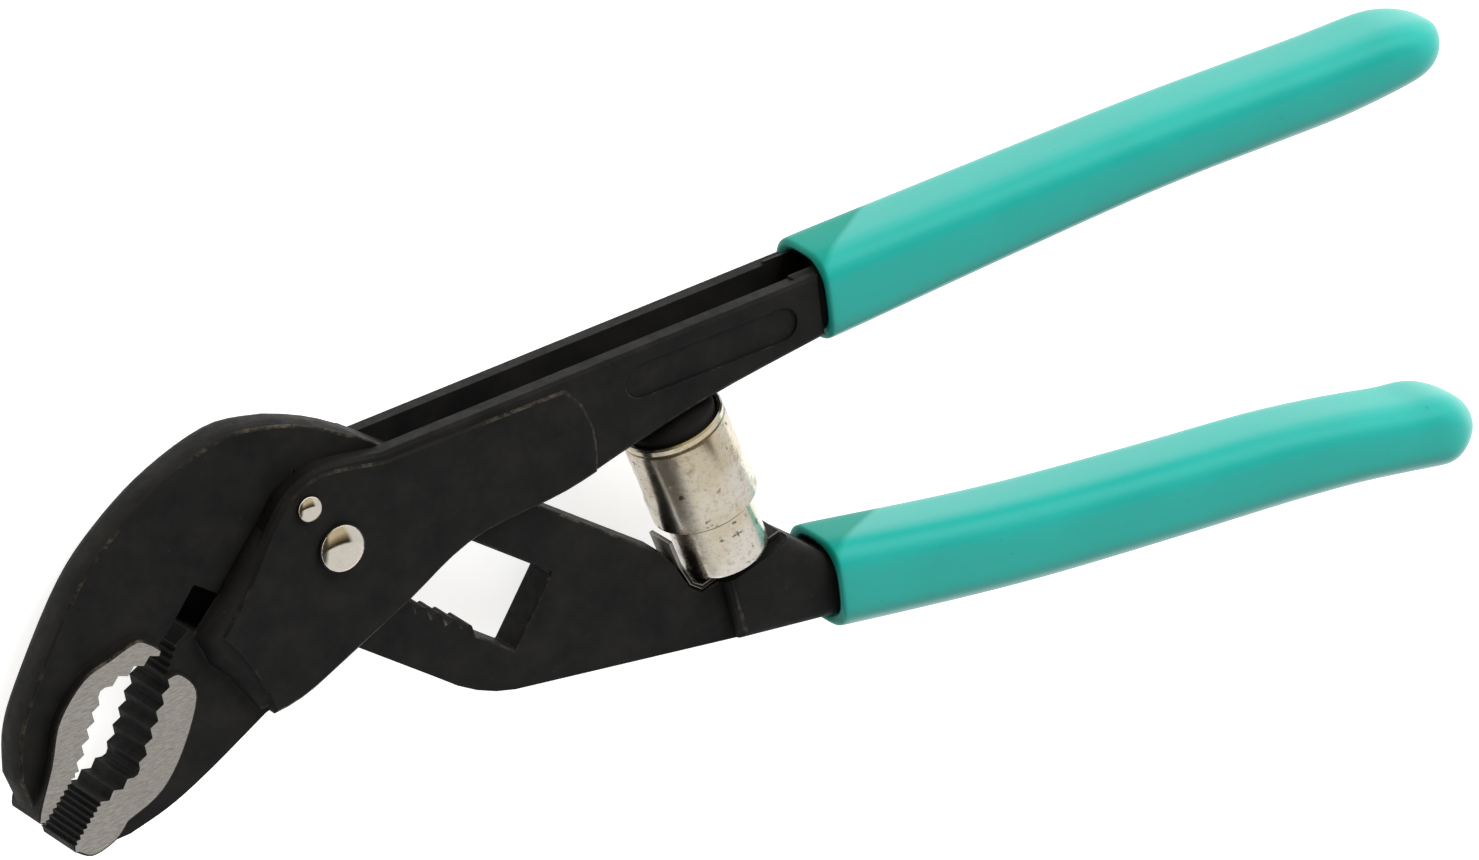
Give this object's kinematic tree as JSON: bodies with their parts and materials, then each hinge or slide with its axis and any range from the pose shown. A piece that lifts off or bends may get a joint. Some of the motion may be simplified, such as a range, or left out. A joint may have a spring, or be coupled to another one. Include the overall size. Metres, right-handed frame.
{
  "type": "water pump pliers",
  "caption": "Self-setting water pump pliers with toothed jaws, a rack that slides over a pivot pawl, a sprung telescopic strut between the handles and dipped grips.",
  "frame": {"origin": "on the pivot axis, at the flat back end of the pivot rivet, flush with the back of the head", "axes": "+X from the jaws to the handle ends, +Y from the toothed handle to the slotted handle, +Z along the pivot axis out of the domed rivet heads"},
  "size_m": [0.2522, 0.0809, 0.0164],
  "materials": {
    "black_steel": "black phosphated forged steel, satin",
    "nickel": "nickel plate, worn and lightly stained",
    "bare_steel": "bare hardened steel",
    "teal_grip": "dipped teal vinyl, soft gloss"
  },
  "bodies": {
    "pin": {"pivot_rivet": "nickel", "pivot_bush": "bare_steel"},
    "slotted_half": {"slotted_handle": "black_steel", "stop_rivet": "nickel", "upper_grip": "teal_grip"},
    "pawl": {"rack_pawl": "bare_steel"},
    "toothed_half": {"toothed_handle": "black_steel", "lower_grip": "teal_grip", "spring_seat": "nickel", "inner_sleeve": "nickel", "compression_spring": "bare_steel"},
    "strut_top": {"outer_sleeve": "nickel", "strut_shoe": "black_steel"}
  },
  "joints": [
    {"name": "jaw_pivot", "type": "hinge", "parent": "pin", "child": "slotted_half", "pos_m": [0, 0, 0.0062], "axis": [0, 0, -1], "range_deg": [0, 3.8], "stiffness_Nm_per_rad": 8, "springref_deg": -4.58},
    {"name": "rack_swing", "type": "hinge", "parent": "pin", "child": "pawl", "pos_m": [0, 0, 0.0062], "axis": [0, 0, 1], "range_deg": [-13.7, 0]},
    {"name": "rack_slide", "type": "slide", "parent": "pawl", "child": "toothed_half", "axis": [-0.7848, 0.6198, 0], "range_m": [0, 0.01475]},
    {"name": "strut_squeeze", "type": "slide", "parent": "toothed_half", "child": "strut_top", "axis": [0.2571, -0.9664, 0], "range_m": [0, 0.0042], "deforming": ["compression_spring"]}
  ],
  "couplings": [
    {"joint": "rack_swing", "follows": "rack_slide", "rad_per_m": -16.06},
    {"joint": "strut_squeeze", "follows": "jaw_pivot", "m_per_rad": 0.0625}
  ]
}
